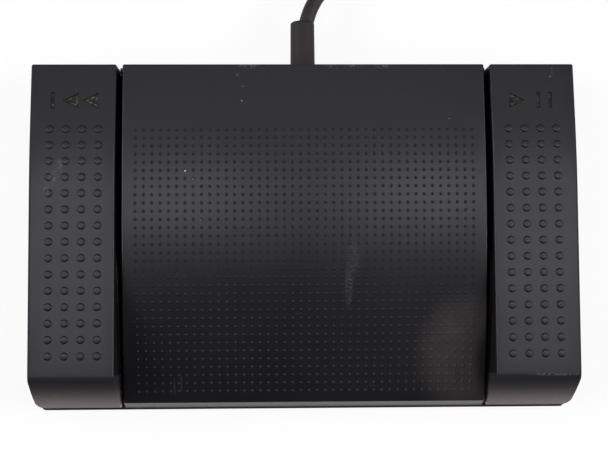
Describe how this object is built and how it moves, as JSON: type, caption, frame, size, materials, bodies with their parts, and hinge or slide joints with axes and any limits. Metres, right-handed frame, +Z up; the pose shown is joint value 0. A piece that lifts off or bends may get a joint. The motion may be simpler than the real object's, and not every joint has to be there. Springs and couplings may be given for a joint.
{
  "type": "two-pedal foot control",
  "caption": "Low two-pedal foot control: a broad arched housing with a narrow hinged, sprung pedal at each side, switches inside and a rear cable with a round plug.",
  "frame": {"origin": "on the floor, under the middle of the housing", "axes": "+X to the right across both pedals, +Y to the rear edge where the cable leaves, +Z up"},
  "size_m": [0.2478, 0.2936, 0.0345],
  "materials": {
    "pedal_plastic": "matt moulded, slightly worn",
    "cover_plastic": "matt moulded, fine nibs",
    "base_plastic": "matt moulded",
    "foot_rubber": "matt",
    "pin_steel": "ground",
    "spring_steel": "drawn wire",
    "switch_plastic": "moulded",
    "plunger_plastic": "moulded",
    "contact_brass": "plated",
    "screw_steel": "zinc plated",
    "ballast_steel": "as rolled",
    "board_laminate": "laminate",
    "header_nylon": "moulded",
    "lead_jacket": "flexible sleeve",
    "cord_jacket": "matt jacket",
    "boot_rubber": "matt",
    "plug_metal": "plated"
  },
  "bodies": {
    "housing": {"base_plate": "base_plastic", "center_cover": "cover_plastic", "rubber_feet": "foot_rubber", "left_hinge_pin": "pin_steel", "right_hinge_pin": "pin_steel", "left_switch_body": "switch_plastic", "right_switch_body": "switch_plastic", "left_switch_terminals": "contact_brass", "right_switch_terminals": "contact_brass", "switch_screws": "screw_steel", "pedal_bumpers": "foot_rubber", "ballast_plate": "ballast_steel", "ballast_screws": "screw_steel", "terminal_board": "board_laminate", "board_screws": "screw_steel", "board_headers": "header_nylon", "left_switch_lead": "lead_jacket", "right_switch_lead": "lead_jacket", "cord_inner_end": "cord_jacket", "cord_conductors": "lead_jacket", "cord_clamp": "base_plastic", "clamp_screws": "screw_steel", "cover_screws": "screw_steel", "strain_relief": "boot_rubber", "cord": "cord_jacket", "cord_coil": "cord_jacket", "coil_tie": "base_plastic", "plug_body": "boot_rubber", "plug_shell": "plug_metal", "plug_insert": "header_nylon", "plug_pins": "contact_brass", "left_return_spring": "spring_steel", "right_return_spring": "spring_steel"},
    "left_pedal": {"left_pedal": "pedal_plastic"},
    "left_lever": {"left_switch_lever": "spring_steel"},
    "left_plunger": {"left_switch_plunger": "plunger_plastic"},
    "right_pedal": {"right_pedal": "pedal_plastic"},
    "right_lever": {"right_switch_lever": "spring_steel"},
    "right_plunger": {"right_switch_plunger": "plunger_plastic"}
  },
  "joints": [
    {"name": "left_pedal_hinge", "type": "hinge", "parent": "housing", "child": "left_pedal", "pos_m": [-0.09675, 0.06, 0.014], "axis": [1, 0, 0], "range_deg": [0, 1.6], "stiffness_Nm_per_rad": 2.5, "springref_deg": -8.59, "deforming": ["left_return_spring"]},
    {"name": "left_switch_lever_hinge", "type": "hinge", "parent": "housing", "child": "left_lever", "pos_m": [-0.0968, 0.0206, 0.019], "axis": [1, 0, 0], "range_deg": [0, 6.3]},
    {"name": "left_switch_plunger_slide", "type": "slide", "parent": "housing", "child": "left_plunger", "axis": [0, 0, -1], "range_m": [0, 0.00044]},
    {"name": "right_pedal_hinge", "type": "hinge", "parent": "housing", "child": "right_pedal", "pos_m": [0.09675, 0.06, 0.014], "axis": [1, 0, 0], "range_deg": [0, 1.6], "stiffness_Nm_per_rad": 2.5, "springref_deg": -8.59, "deforming": ["right_return_spring"]},
    {"name": "right_switch_lever_hinge", "type": "hinge", "parent": "housing", "child": "right_lever", "pos_m": [0.0968, 0.0206, 0.019], "axis": [1, 0, 0], "range_deg": [0, 6.3]},
    {"name": "right_switch_plunger_slide", "type": "slide", "parent": "housing", "child": "right_plunger", "axis": [0, 0, -1], "range_m": [0, 0.00044]}
  ],
  "couplings": [
    {"joint": "left_switch_lever_hinge", "follows": "left_pedal_hinge", "ratio": 3.8143},
    {"joint": "left_switch_plunger_slide", "follows": "left_pedal_hinge", "m_per_rad": 0.0154},
    {"joint": "right_switch_lever_hinge", "follows": "right_pedal_hinge", "ratio": 3.8143},
    {"joint": "right_switch_plunger_slide", "follows": "right_pedal_hinge", "m_per_rad": 0.0154}
  ]
}
